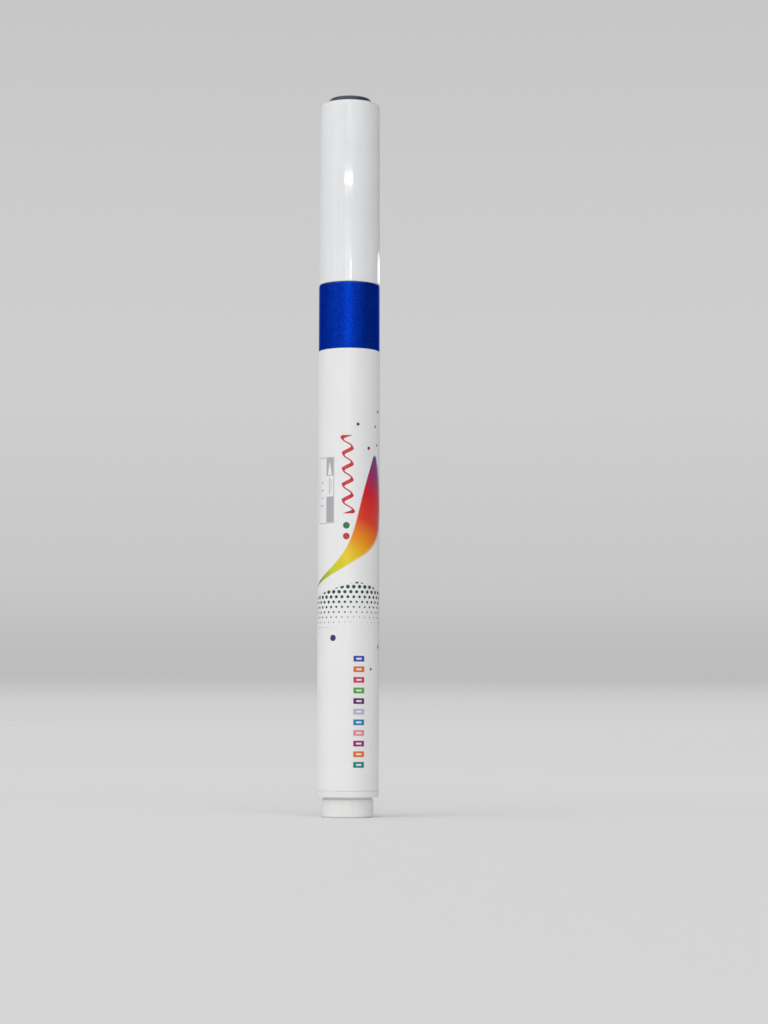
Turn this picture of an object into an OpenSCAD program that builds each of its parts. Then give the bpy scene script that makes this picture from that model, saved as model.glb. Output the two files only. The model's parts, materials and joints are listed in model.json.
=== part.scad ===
// Capped brush marker for shaken metallic ink, with a press valve and two mixing balls.
// The pen stands on its tail. The origin is the centre of the tail's end face and +Z runs
// up the axis to the cap. Sizes are in millimetres.

/* [Barrel] */
// Outside diameter of the barrel
barrel_d = 12.1; // [10:0.1:16]
// Wall of the barrel tube
barrel_wall = 1.0; // [0.7:0.05:1.3]
// Length of the barrel tube
barrel_len = 86.1; // [50:0.1:130]
// Broken edge at each end of the tube
barrel_edge = 0.12; // [0.05:0.01:0.3]

/* [Rear plug] */
// Height of the round tail that the cap is posted on
tail_h = 3.4; // [2:0.1:8]
// Height of the groove between the tail and the flange
tail_groove_h = 0.5; // [0.2:0.05:0.8]
// Depth of that groove
tail_groove_depth = 0.25; // [0.1:0.05:0.5]
// Rounded edge of the tail's end
tail_edge_r = 0.3; // [0.1:0.05:0.6]
// Wall around the hollow in the tail
tail_wall = 2.0; // [1:0.1:2.5]
// Thickness of the flange that closes the barrel
plug_flange_t = 1.2; // [0.8:0.1:3]
// Length of the plug inside the barrel
plug_spigot_len = 8.0; // [5:0.5:15]
// Wall that closes the plug's hollow
plug_top_t = 1.5; // [1:0.1:3]

/* [Colour ring] */
// Length of the ring between the barrel and the cap
ring_len = 13.1; // [6:0.1:20]
// How far the ring's surface lies inside the barrel's
ring_step = 0.05; // [0:0.01:0.3]
// Wall of the ring
ring_wall = 0.7; // [0.5:0.05:1]
// Broken edge at each end of the ring
ring_edge = 0.12; // [0.05:0.01:0.3]

/* [Front section] */
// Length of the section inside the barrel
section_spigot_len = 8.5; // [6:0.5:15]
// Wall of the section inside the barrel
spigot_wall = 1.4; // [1.2:0.1:1.8]
// Thickness of the flange that clamps the ring
section_flange_t = 0.8; // [0.5:0.1:2]
// How far that flange reaches over the ring
section_flange_lip = 0.25; // [0.15:0.05:0.35]
// Length of the neck that the cap slides over
neck_len = 6.5; // [4:0.1:12]
// Height of the ridge that grips the cap
ridge_h = 0.16; // [0.05:0.01:0.3]
// Width of that ridge along the neck
ridge_w = 1.6; // [0.8:0.1:3]
// Length of the land that the cap's liner seals on
land_len = 4.5; // [4:0.1:8]
// Wall around the absorber's chamber
land_wall = 0.9; // [0.6:0.05:1.2]
// Height of the web above the barrel's end
web_rise = 2.8; // [2:0.1:6]
// Thickness of the web between the valve and the absorber
web_t = 2.0; // [1:0.1:4]
// Thickness of the two rubber sealing rings
seal_w = 0.9; // [0.6:0.05:1.1]

/* [Nose and brush] */
// Length of the nose cone
nose_len = 6.5; // [4:0.1:12]
// Length of the nose cone inside the section
nose_spigot_len = 3.0; // [2:0.1:4]
// Wall of the nose cone inside the section
nose_wall = 0.95; // [0.6:0.05:1.1]
// Wall of the nose cone at its tip
nose_tip_wall = 0.55; // [0.3:0.05:1]
// How far the ferrule stands out of the nose at rest
ferrule_reach = 1.9; // [1.6:0.1:4]
// Wall of the ferrule
ferrule_wall = 0.35; // [0.2:0.05:0.4]
// Thickness of the collar that keeps the ferrule in
collar_t = 1.4; // [0.8:0.1:2]
// Bare length of the bristles
brush_len = 8.3; // [5:0.1:12]
// How far the brush can be pressed in to open the valve
press_travel = 1.5; // [0.5:0.1:2]

/* [Ink feed and valve] */
// Diameter of the porous wick
wick_d = 1.8; // [1:0.1:1.8]
// Wall of the tube around the wick
feed_wall = 0.4; // [0.3:0.05:0.5]
// How far the wick reaches into the brush
wick_reach = 5.0; // [2:0.5:8]
// Diameter of the two ink ports in the feed tube
port_d = 0.9; // [0.5:0.1:1.2]
// Diameter of the valve rod
rod_d = 2.0; // [1.2:0.1:2.2]
// Free space around the rod where the ink passes
flow_gap = 0.5; // [0.3:0.05:0.6]
// Thickness of the valve's rubber seat
seat_t = 1.2; // [0.8:0.1:2]
// Thickness of the valve's head
head_t = 1.2; // [0.8:0.1:2]
// Length of the valve case
case_len = 15.0; // [14:0.5:20]
// Wall of the valve case
case_wall = 0.6; // [0.4:0.05:0.8]
// Thickness of the case's floor and of its flange
case_floor_t = 0.8; // [0.6:0.1:1.2]
// Width of each window in the case
window_w = 1.6; // [0.8:0.1:2.4]
// Height of each window in the case
window_h = 2.2; // [1:0.1:2.6]
// Wire of the valve spring
spring_wire = 0.35; // [0.2:0.05:0.5]
// Turns of the valve spring
spring_turns = 8; // [5:1:12]

/* [Mixing balls] */
// Diameter of each ball
ball_d = 3.5; // [2:0.1:4.2]
// Space between the two balls
ball_gap = 0.3; // [0.1:0.1:1]

/* [Cap] */
// Length of the cap's shell
cap_len = 36.35; // [35:0.05:60]
// How far the cap's surface lies inside the barrel's
cap_step = 0.05; // [0:0.01:0.3]
// Wall of the cap at its mouth
cap_wall = 0.92; // [0.7:0.01:1.2]
// How much thinner the cap gets towards its top, on the radius
cap_draft = 0.12; // [0:0.01:0.2]
// Rounded upper edge of the cap
cap_corner_r = 0.4; // [0.3:0.1:1.5]
// Thickness of the cap's top
cap_top_t = 1.8; // [1.2:0.1:3]
// Wall of the liner that keeps the brush moist
liner_wall = 0.75; // [0.5:0.05:1]
// Thickness of the liner's closed end
liner_top_t = 0.7; // [0.4:0.1:1.5]

/* [Cap end plug] */
// Diameter of the coloured plug's head
end_plug_d = 8.4; // [5:0.1:8.6]
// How far the head stands above the cap
end_plug_rise = 1.25; // [0.3:0.05:3]
// Depth of the head's seat in the cap
end_plug_seat = 0.7; // [0.3:0.1:1]
// Rounded edge of the head
end_plug_edge_r = 0.5; // [0.2:0.1:0.8]
// How much smaller the plug's stem is than its head, on the radius
end_plug_shoulder = 0.6; // [0.3:0.1:1]

/* [Clearances] */
// Gap on the radius between pieces that are pressed together
press_gap = 0.02; // [0:0.01:0.05]
// Gap on the radius between pieces that slide
run_gap = 0.05; // [0.03:0.01:0.1]
// Gap between faces that only touch
touch_gap = 0.02; // [0.01:0.01:0.05]
// Gap between the seated cap and the pen
mouth_gap = 0.1; // [0.02:0.01:0.1]
// Room left beyond the end of a stroke
stroke_room = 0.4; // [0.2:0.1:1]

/* [Hidden] */

round_fn = 96;
small_edge = 0.2;
arc_steps = 8;

// Radii, from the outside in
barrel_r = barrel_d / 2;
barrel_bore_r = barrel_r - barrel_wall;
spigot_r = barrel_bore_r - press_gap;
ring_r = barrel_r - ring_step;
ring_bore_r = ring_r - ring_wall;
section_seat_r = ring_bore_r - press_gap;
section_flange_r = ring_bore_r + section_flange_lip;
cap_r = barrel_r - cap_step;
cap_bore_r = cap_r - cap_wall;
ridge_r = cap_bore_r - run_gap;
neck_r = ridge_r - ridge_h;
tail_r = cap_bore_r - run_gap;
tail_hollow_r = tail_r - tail_wall;
liner_r = cap_bore_r - press_gap;
liner_bore_r = liner_r - liner_wall;
land_r = liner_bore_r - run_gap;
chamber_r = land_r - land_wall;
nose_spigot_r = chamber_r - press_gap;
ferrule_r = nose_spigot_r - nose_wall - run_gap;
collar_r = chamber_r - run_gap;
brush_r = ferrule_r - ferrule_wall - press_gap;
wick_r = wick_d / 2;
feed_bore_r = wick_r + press_gap;
feed_r = feed_bore_r + feed_wall;
rod_r = rod_d / 2;
flow_r = rod_r + flow_gap;
valve_bore_r = spigot_r - spigot_wall;
case_r = valve_bore_r - press_gap;
case_bore_r = case_r - case_wall;
head_r = case_bore_r - stroke_room;
spring_r = head_r - spring_wire / 2 - run_gap;
end_plug_r = end_plug_d / 2;
end_plug_stem_r = end_plug_r - end_plug_shoulder;
seal_r = seal_w / 2;
seal_ring_r = barrel_bore_r - seal_r - touch_gap;
ball_r = ball_d / 2;

// Heights, from the tail up
tail_groove_z = tail_h;
plug_flange_z = tail_h + tail_groove_h;
barrel_z0 = plug_flange_z + plug_flange_t;
barrel_z1 = barrel_z0 + barrel_len;
plug_top_z = barrel_z0 + plug_spigot_len;
rear_seal_z = barrel_z0 + plug_spigot_len / 2;
ball_z = plug_top_z + touch_gap + ball_r;
ring_z1 = barrel_z1 + ring_len;
section_z0 = barrel_z1 - section_spigot_len;
section_seal_z = barrel_z1 - section_spigot_len / 2;
section_flange_z = ring_z1 - section_flange_t;
neck_z1 = ring_z1 + neck_len;
section_z1 = neck_z1 + land_len;
web_z0 = barrel_z1 + web_rise;
web_z1 = web_z0 + web_t;
seat_z0 = web_z0 - seat_t;
case_z0 = seat_z0 - case_len;
case_floor_z = case_z0 + case_floor_t;
head_z1 = seat_z0 - touch_gap;
head_z0 = head_z1 - head_t;
feed_z0 = web_z1 + press_travel + stroke_room;
nose_z0 = section_z1 - nose_spigot_len;
nose_z1 = section_z1 + nose_len;
collar_z1 = nose_z0 - touch_gap;
collar_z0 = collar_z1 - collar_t;
absorber_z1 = collar_z0 - press_travel - stroke_room;
ferrule_z1 = nose_z1 + ferrule_reach;
brush_z1 = ferrule_z1 + brush_len;
cap_z0 = ring_z1 + mouth_gap;
cap_z1 = cap_z0 + cap_len;
cap_ceiling_z = cap_z1 - cap_top_t;
liner_z0 = neck_z1 + mouth_gap;
liner_z1 = cap_ceiling_z - end_plug_seat;
end_plug_z1 = cap_z1 + end_plug_rise;

// Points on an arc about [x, z], from angle a0 to angle a1
function arc(x, z, r, a0, a1) = [
    for (i = [0 : arc_steps])
        let (a = a0 + (a1 - a0) * i / arc_steps)
        [x + r * cos(a), z + r * sin(a)]
];

// Solid turned from an outline of [radius, height] points
module turned(outline) {
    rotate_extrude($fn = round_fn)
        polygon(outline);
}

// Tube with a broken outer edge at both ends
module edged_tube(r, bore_r, z0, z1, edge) {
    turned([
        [bore_r, z0], [r - edge, z0], [r, z0 + edge],
        [r, z1 - edge], [r - edge, z1], [bore_r, z1]
    ]);
}

// Rubber ring in the gap between a spigot's groove and the barrel's bore
module seal_ring(z) {
    translate([0, 0, z])
        rotate_extrude($fn = round_fn)
            translate([seal_ring_r, 0])
                circle(r = seal_r, $fn = 24);
}

// Cut for a seal ring's groove in a spigot
module seal_groove(z) {
    groove_w = seal_w + 2 * run_gap;
    translate([0, 0, z - groove_w / 2])
        difference() {
            cylinder(r = barrel_r, h = groove_w, $fn = round_fn);
            translate([0, 0, -small_edge])
                cylinder(
                    r = seal_ring_r - seal_r - touch_gap,
                    h = groove_w + 2 * small_edge,
                    $fn = round_fn
                );
        }
}

// Stopper in the barrel's rear end: the tail, its groove, the flange and the spigot
module rear_plug() {
    groove_r = tail_r - tail_groove_depth;
    hollow_z = plug_top_z - plug_top_t;
    color("whitesmoke")
        difference() {
            turned(concat(
                [[0, hollow_z], [tail_hollow_r, hollow_z], [tail_hollow_r, 0]],
                arc(tail_r - tail_edge_r, tail_edge_r, tail_edge_r, -90, 0),
                [
                    [tail_r, tail_groove_z], [groove_r, tail_groove_z],
                    [groove_r, plug_flange_z], [barrel_r - barrel_edge, plug_flange_z],
                    [barrel_r, plug_flange_z + barrel_edge], [barrel_r, barrel_z0 - barrel_edge],
                    [barrel_r - barrel_edge, barrel_z0], [spigot_r, barrel_z0],
                    [spigot_r, plug_top_z - small_edge], [spigot_r - small_edge, plug_top_z],
                    [0, plug_top_z]
                ]
            ));
            seal_groove(rear_seal_z);
        }
}

// Seal between the rear plug and the barrel
module rear_seal_ring() {
    color("dimgray") seal_ring(rear_seal_z);
}

// Printed tube that holds the ink
module barrel() {
    color("white")
        edged_tube(barrel_r, barrel_bore_r, barrel_z0, barrel_z1, barrel_edge);
}

// Steel ball that stirs the ink, lying on the rear plug on one side of the axis
module mixing_ball(side) {
    color("silver")
        translate([side * (ball_r + ball_gap / 2), 0, ball_z])
            sphere(r = ball_r, $fn = 48);
}

// Front housing: spigot, ring seat, flange, neck with its grip ridge, and sealing land
module front_section() {
    ridge_z = (ring_z1 + neck_z1) / 2;
    color("white")
        difference() {
            turned([
                [valve_bore_r, section_z0], [spigot_r - small_edge, section_z0],
                [spigot_r, section_z0 + small_edge], [spigot_r, barrel_z1],
                [section_seat_r, barrel_z1], [section_seat_r, section_flange_z],
                [section_flange_r, section_flange_z], [section_flange_r, ring_z1],
                [neck_r, ring_z1], [neck_r, ridge_z - ridge_w / 2],
                [ridge_r, ridge_z - ridge_w / 4], [ridge_r, ridge_z + ridge_w / 4],
                [neck_r, ridge_z + ridge_w / 2], [neck_r, neck_z1 - small_edge],
                [neck_r - small_edge, neck_z1], [land_r, neck_z1],
                [land_r, section_z1], [chamber_r, section_z1],
                [chamber_r, web_z1], [flow_r, web_z1],
                [flow_r, web_z0], [valve_bore_r, web_z0]
            ]);
            seal_groove(section_seal_z);
        }
}

// Seal between the front section and the barrel
module section_seal_ring() {
    color("dimgray") seal_ring(section_seal_z);
}

// Coloured metallic ring that shows the ink's colour, clamped under the section's flange
module colour_ring() {
    rebate_r = section_flange_r + press_gap;
    color("royalblue")
        turned([
            [ring_bore_r, barrel_z1], [ring_r - ring_edge, barrel_z1],
            [ring_r, barrel_z1 + ring_edge], [ring_r, ring_z1 - ring_edge],
            [ring_r - ring_edge, ring_z1], [rebate_r, ring_z1],
            [rebate_r, section_flange_z], [ring_bore_r, section_flange_z]
        ]);
}

// Cone pressed into the section, which guides the ferrule
module nose_cone() {
    bore_r = ferrule_r + run_gap;
    tip_r = bore_r + nose_tip_wall;
    color("whitesmoke")
        turned([
            [bore_r, nose_z0], [nose_spigot_r - small_edge, nose_z0],
            [nose_spigot_r, nose_z0 + small_edge], [nose_spigot_r, section_z1],
            [land_r, section_z1], [land_r, section_z1 + small_edge],
            [tip_r, nose_z1 - small_edge], [tip_r - small_edge, nose_z1],
            [bore_r, nose_z1]
        ]);
}

// Rubber washer that the valve's head closes against
module valve_seat() {
    color("dimgray")
        turned([
            [flow_r, seat_z0], [case_r, seat_z0],
            [case_r, web_z0], [flow_r, web_z0]
        ]);
}

// Cage around the spring, with windows that let the ink in
module valve_case() {
    pin_hole_r = rod_r + run_gap;
    flange_r = spigot_r - spigot_wall / 2;
    flange_z = section_z0 - case_floor_t;
    window_z = flange_z - small_edge - window_h;
    color("gainsboro")
        difference() {
            turned([
                [pin_hole_r, case_z0], [case_r - small_edge, case_z0],
                [case_r, case_z0 + small_edge], [case_r, flange_z],
                [flange_r, flange_z], [flange_r, section_z0],
                [case_r, section_z0], [case_r, seat_z0],
                [case_bore_r, seat_z0], [case_bore_r, case_floor_z],
                [pin_hole_r, case_floor_z]
            ]);
            for (turn = [0, 90])
                rotate([0, 0, turn])
                    translate([-case_r - 1, -window_w / 2, window_z])
                        cube([2 * case_r + 2, window_w, window_h]);
        }
}

// Height of the spring's wire after so many turns: one closed turn at each end
function spring_height(turn, low, high) =
    let (closed = spring_wire * 1.15)
    turn <= 1 ? low + closed * turn
    : turn >= spring_turns - 1 ? high - closed * (spring_turns - turn)
    : low + closed + (high - low - 2 * closed) * (turn - 1) / (spring_turns - 2);

// Coil spring that lifts the valve's head onto its seat
module valve_spring() {
    sides = 6;
    steps = 14;
    rings = spring_turns * steps;
    low = case_floor_z + spring_wire / 2 + touch_gap;
    high = head_z0 - spring_wire / 2 - touch_gap;
    points = [
        for (i = [0 : rings], k = [0 : sides - 1])
            let (
                turn = i / steps,
                lean = 360 * k / sides,
                r = spring_r + spring_wire / 2 * cos(lean)
            )
            [
                r * cos(360 * turn), r * sin(360 * turn),
                spring_height(turn, low, high) + spring_wire / 2 * sin(lean)
            ]
    ];
    walls = [
        for (i = [0 : rings - 1], k = [0 : sides - 1])
            let (next = (k + 1) % sides)
            [i * sides + k, i * sides + next, (i + 1) * sides + next, (i + 1) * sides + k]
    ];
    first = [for (k = [sides - 1 : -1 : 0]) k];
    last = [for (k = [0 : sides - 1]) rings * sides + k];
    color("silver")
        polyhedron(points = points, faces = concat([first], walls, [last]), convexity = 10);
}

// Rod that opens the valve: guide pin, sealing head, and the stem up to the feed
module valve_rod() {
    pin_z0 = case_z0;
    color("lightsteelblue")
        turned([
            [0, pin_z0], [rod_r - small_edge, pin_z0], [rod_r, pin_z0 + small_edge],
            [rod_r, head_z0], [head_r, head_z0],
            [head_r, head_z1 - small_edge], [head_r - small_edge, head_z1],
            [rod_r, head_z1], [rod_r, feed_z0], [0, feed_z0]
        ]);
}

// Fibre collar that catches surplus ink around the feed tube
module absorber_collar() {
    color("lightyellow")
        edged_tube(chamber_r - press_gap, feed_r + run_gap, web_z1, absorber_z1, small_edge);
}

// Tube between the valve's rod and the brush, with two ink ports near its foot
module feed_tube() {
    port_z = feed_z0 + port_d;
    color("gainsboro")
        difference() {
            turned([
                [feed_bore_r, feed_z0], [feed_r, feed_z0],
                [feed_r, collar_z1], [feed_bore_r, collar_z1]
            ]);
            translate([-feed_r - 1, 0, port_z])
                rotate([0, 90, 0])
                    cylinder(d = port_d, h = 2 * feed_r + 2, $fn = 24);
        }
}

// Porous rod that carries the ink into the brush
module feed_wick() {
    color("slateblue")
        turned([
            [0, feed_z0], [wick_r, feed_z0],
            [wick_r, collar_z1 + wick_reach], [0, collar_z1 + wick_reach]
        ]);
}

// Sliding sleeve that holds the bristles, with the collar that stops it in the nose
module brush_ferrule() {
    feed_hole_r = feed_r + press_gap;
    inner_r = ferrule_r - ferrule_wall;
    lip = ferrule_wall / 3;
    color("darkslategray")
        turned([
            [feed_hole_r, collar_z0], [collar_r - small_edge, collar_z0],
            [collar_r, collar_z0 + small_edge], [collar_r, collar_z1],
            [ferrule_r, collar_z1], [ferrule_r, ferrule_z1 - lip],
            [ferrule_r - lip, ferrule_z1], [inner_r, ferrule_z1],
            [inner_r, collar_z1], [feed_hole_r, collar_z1]
        ]);
}

// Radius of the bristle bundle at a share t of its bare length
function bristle_r(t) = brush_r * pow(1 - pow(t, 1.9), 0.9);

// Bundle of bristles around the wick, drawn to a point
module brush_bristles() {
    wick_hole_r = wick_r + press_gap;
    wick_top_z = collar_z1 + wick_reach + touch_gap;
    point_steps = 14;
    color("midnightblue")
        turned(concat(
            [[0, wick_top_z], [wick_hole_r, wick_top_z], [wick_hole_r, collar_z1], [brush_r, collar_z1]],
            [
                for (i = [0 : point_steps])
                    let (t = i / point_steps)
                    [bristle_r(t), ferrule_z1 + brush_len * t]
            ]
        ));
}

// Outer shell of the cap
module cap_shell() {
    top_r = cap_r - cap_draft;
    seat_r = end_plug_r + press_gap;
    stem_hole_r = end_plug_stem_r + press_gap;
    seat_z = cap_z1 - end_plug_seat;
    color("white")
        turned(concat(
            [[cap_bore_r + small_edge, cap_z0], [cap_r - ring_edge, cap_z0], [cap_r, cap_z0 + ring_edge]],
            arc(top_r - cap_corner_r, cap_z1 - cap_corner_r, cap_corner_r, 0, 90),
            [
                [seat_r, cap_z1], [seat_r, seat_z],
                [stem_hole_r, seat_z], [stem_hole_r, cap_ceiling_z],
                [cap_bore_r, cap_ceiling_z], [cap_bore_r, cap_z0 + small_edge]
            ]
        ));
}

// Soft inner cup that seals on the section's land
module cap_liner() {
    ceiling_z = liner_z1 - liner_top_t;
    color("gainsboro")
        turned([
            [liner_bore_r + small_edge, liner_z0], [liner_r - small_edge, liner_z0],
            [liner_r, liner_z0 + small_edge], [liner_r, liner_z1 - small_edge],
            [liner_r - small_edge, liner_z1], [0, liner_z1],
            [0, ceiling_z], [liner_bore_r, ceiling_z],
            [liner_bore_r, liner_z0 + small_edge]
        ]);
}

// Coloured plug in the cap's top, with its stem down to the liner
module cap_end_plug() {
    seat_z = cap_z1 - end_plug_seat;
    color("midnightblue")
        turned(concat(
            [
                [0, liner_z1], [end_plug_stem_r - small_edge, liner_z1],
                [end_plug_stem_r, liner_z1 + small_edge], [end_plug_stem_r, seat_z],
                [end_plug_r, seat_z]
            ],
            arc(end_plug_r - end_plug_edge_r, end_plug_z1 - end_plug_edge_r, end_plug_edge_r, 0, 90),
            [[0, end_plug_z1]]
        ));
}

rear_plug();
rear_seal_ring();
barrel();
mixing_ball(-1);  // mixing_ball_1
mixing_ball(1);  // mixing_ball_2
front_section();
section_seal_ring();
colour_ring();
nose_cone();
valve_seat();
valve_case();
valve_spring();
valve_rod();
absorber_collar();
feed_tube();
feed_wick();
brush_ferrule();
brush_bristles();
cap_shell();
cap_liner();
cap_end_plug();
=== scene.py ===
"""Looks of a capped brush marker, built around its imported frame.

Lengths are in metres, in the frame's own axes: the pen stands on its tail at the origin,
with its axis along +Z and the front of its print towards -Y. Outlines and print sizes are in
millimetres, and print lies on the unrolled barrel: arc runs round it and height up it.
"""
import json
import logging
import math
import random
from collections.abc import Callable, Sequence
from dataclasses import dataclass
from enum import Enum

import bmesh
import bpy
from mathutils import Matrix, Vector


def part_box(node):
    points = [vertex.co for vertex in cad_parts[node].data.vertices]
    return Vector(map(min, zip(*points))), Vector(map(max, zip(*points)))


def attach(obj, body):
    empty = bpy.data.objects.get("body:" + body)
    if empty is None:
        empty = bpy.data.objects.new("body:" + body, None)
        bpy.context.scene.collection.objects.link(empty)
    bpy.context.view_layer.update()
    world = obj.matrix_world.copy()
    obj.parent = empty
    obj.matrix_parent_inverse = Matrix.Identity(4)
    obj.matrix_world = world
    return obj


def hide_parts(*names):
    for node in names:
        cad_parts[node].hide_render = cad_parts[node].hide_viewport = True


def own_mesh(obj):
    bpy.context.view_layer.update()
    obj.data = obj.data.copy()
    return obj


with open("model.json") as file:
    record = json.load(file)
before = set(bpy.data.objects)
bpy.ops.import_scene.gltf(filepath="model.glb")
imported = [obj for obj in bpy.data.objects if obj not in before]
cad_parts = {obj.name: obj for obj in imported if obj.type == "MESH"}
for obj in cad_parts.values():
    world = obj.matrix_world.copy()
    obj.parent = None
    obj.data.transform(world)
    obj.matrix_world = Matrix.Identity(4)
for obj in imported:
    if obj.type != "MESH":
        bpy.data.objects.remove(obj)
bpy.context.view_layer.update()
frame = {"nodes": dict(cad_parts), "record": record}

MM = 0.001
TURNED_SIDES = 118
LOG = logging.getLogger("brush_marker")

Colour = tuple[float, float, float]
Point = tuple[float, float]


class Body(Enum):
    """The moving bodies that pieces ride on."""

    PEN = "pen_body"
    BRUSH = "brush_unit"
    CAP = "cap"
    BALL_1 = "ball_1"
    BALL_2 = "ball_2"


# Node trees
# ----------


class Signal:
    """What a node puts out. Signals are added, multiplied and so on like plain numbers."""

    def __init__(self, graph: "Graph", socket: bpy.types.NodeSocket) -> None:
        """Keep the output socket and the graph that it belongs to."""
        self.graph, self.socket = graph, socket

    def __add__(self, other: "Value") -> "Signal":
        """Sum of two values."""
        return self.graph.math("ADD", self, other)

    def __sub__(self, other: "Value") -> "Signal":
        """What is left when the other value is taken off."""
        return self.graph.math("SUBTRACT", self, other)

    def __rsub__(self, other: float) -> "Signal":
        """What is left of a plain number when this is taken off."""
        return self.graph.math("SUBTRACT", other, self)

    def __mul__(self, other: "Value") -> "Signal":
        """Product of two values."""
        return self.graph.math("MULTIPLY", self, other)

    def __truediv__(self, other: "Value") -> "Signal":
        """This, shared by the other value."""
        return self.graph.math("DIVIDE", self, other)

    def __rtruediv__(self, other: float) -> "Signal":
        """A plain number, shared by this."""
        return self.graph.math("DIVIDE", other, self)

    def __pow__(self, power: float) -> "Signal":
        """This, raised to a power."""
        return self.graph.math("POWER", self, power)

    def __abs__(self) -> "Signal":
        """This without its sign."""
        return self.graph.math("ABSOLUTE", self)


Value = float | Signal


class Graph:
    """A node tree with short calls that add nodes and join them."""

    def __init__(self, tree: bpy.types.NodeTree) -> None:
        """Take over a material's or world's tree, or a node group."""
        self.tree = tree

    def fill(self, node: bpy.types.Node, inputs: dict) -> None:
        """Link a node's inputs, or set their plain values.

        Args:
            node: The node.
            inputs: Signals, numbers, colours or vectors by input name or index.
        """
        for name, value in inputs.items():
            socket = node.inputs[name]
            if isinstance(value, Signal):
                self.tree.links.new(value.socket, socket)
            elif isinstance(value, tuple) and socket.type == "RGBA":
                socket.default_value = (*value, 1.0)
            else:
                socket.default_value = value

    def node(self, kind: str, inputs: dict | None = None, **settings: object) -> bpy.types.Node:
        """Add a node.

        Args:
            kind: The node's type name.
            inputs: What fills its inputs, as in fill.
            **settings: The node's own properties.

        Returns:
            The new node.
        """
        node = self.tree.nodes.new(kind)
        for name, value in settings.items():
            setattr(node, name, value)
        self.fill(node, inputs or {})
        return node

    def add(self, kind: str, inputs: dict | None = None, **settings: object) -> dict[str, Signal]:
        """Add a node as node does, and give its outputs by name."""
        outputs = self.node(kind, inputs, **settings).outputs
        return {socket.name: Signal(self, socket) for socket in outputs}

    def group(self, tree: bpy.types.NodeTree, **inputs: Value) -> dict[str, Signal]:
        """Place a node group, fill its named inputs, and give its outputs by name."""
        return self.add("ShaderNodeGroup", inputs, node_tree=tree)

    def math(self, operation: str, *values: Value, clamp: bool = False) -> Signal:
        """Add a Math node, and keep its result from 0 to 1 if clamp is set."""
        settings = {"operation": operation, "use_clamp": clamp}
        return self.add("ShaderNodeMath", dict(enumerate(values)), **settings)["Value"]

    def smooth(self, value: Value, low: Value, high: Value) -> Signal:
        """Rise smoothly from 0 where the value is low to 1 where it is high."""
        inputs = {"Value": value, "From Min": low, "From Max": high}
        return self.add("ShaderNodeMapRange", inputs, interpolation_type="SMOOTHSTEP")["Result"]

    def inside(self, distance: Signal, soft: float = 0.03) -> Signal:
        """Be 1 where a distance is below 0 and 0 above it, with a soft edge."""
        return 1.0 - self.smooth(distance, -soft, soft)

    def mix(self, factor: Value, first: object, second: object) -> Signal:
        """Mix two colours.

        Args:
            factor: Share of the second colour.
            first: The colour where factor is 0.
            second: The colour where factor is 1.

        Returns:
            The mixed colour.
        """
        node = self.node("ShaderNodeMix", {0: factor}, data_type="RGBA", clamp_factor=True)
        self.fill(node, {6: first, 7: second})
        return Signal(self, node.outputs[2])

    def blend(self, factor: Value, first: Value, second: Value) -> Signal:
        """Mix two numbers.

        Args:
            factor: Share of the second number.
            first: The number where factor is 0.
            second: The number where factor is 1.

        Returns:
            The mixed number.
        """
        node = self.node("ShaderNodeMix", {0: factor}, data_type="FLOAT", clamp_factor=True)
        self.fill(node, {2: first, 3: second})
        return Signal(self, node.outputs[0])

    def ramp(
        self, factor: Value, stops: Sequence[tuple[float, Colour]], interpolation: str = "LINEAR"
    ) -> Signal:
        """Look a colour up along a ramp.

        Args:
            factor: Place along the ramp, from 0 to 1.
            stops: Places and colours, in order.
            interpolation: LINEAR, or CONSTANT to step from colour to colour.

        Returns:
            The colour.
        """
        node = self.node("ShaderNodeValToRGB", {"Fac": factor})
        band = node.color_ramp
        band.interpolation = interpolation
        for index, (place, colour) in enumerate(stops):
            element = band.elements[index] if index < 2 else band.elements.new(place)
            element.position = place
            element.color = (*colour, 1.0)
        return Signal(self, node.outputs["Color"])

    def noise(self, vector: Signal, size_mm: Value, detail: float = 3.0, rough: float = 0.5) -> Signal:
        """Add a noise pattern.

        Args:
            vector: Coordinates in metres.
            size_mm: Size of one lump, in millimetres.
            detail: Finer octaves.
            rough: Strength of the finer octaves.

        Returns:
            The pattern, from 0 to 1.
        """
        inputs = {"Vector": vector, "Scale": 1.0 / MM / size_mm, "Detail": detail, "Roughness": rough}
        return self.add("ShaderNodeTexNoise", inputs)["Fac"]

    def stretched(self, vector: Signal, across: float, along: float) -> Signal:
        """Scale coordinates across and along the pen: a smaller factor makes a pattern longer."""
        inputs = {"Vector": vector, "Scale": (across, across, along)}
        return self.add("ShaderNodeMapping", inputs)["Vector"]

    def bump(self, height: Signal, strength: float, depth_mm: float) -> Signal:
        """Turn a height from 0 to 1 into a normal. A height of 1 stands for depth_mm."""
        inputs = {"Height": height, "Strength": strength, "Distance": depth_mm * MM}
        return self.add("ShaderNodeBump", inputs)["Normal"]


def make_group(
    name: str, ports: dict[str, float | None], build: Callable[[Graph, dict], dict]
) -> bpy.types.NodeTree:
    """Build a node group.

    Args:
        name: The group's name.
        ports: Each input and what it is when left alone, or None for a vector.
        build: Adds the nodes to the group, and returns what each output gives, by name.

    Returns:
        The group's tree.
    """
    tree = bpy.data.node_groups.new(name, "ShaderNodeTree")
    for port, default in ports.items():
        kind = "NodeSocketVector" if default is None else "NodeSocketFloat"
        socket = tree.interface.new_socket(port, in_out="INPUT", socket_type=kind)
        if default is not None:
            socket.default_value = default
    graph = Graph(tree)
    results = build(graph, graph.add("NodeGroupInput"))
    for output in results:
        tree.interface.new_socket(output, in_out="OUTPUT", socket_type="NodeSocketFloat")
    graph.node("NodeGroupOutput", results)
    return tree


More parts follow.
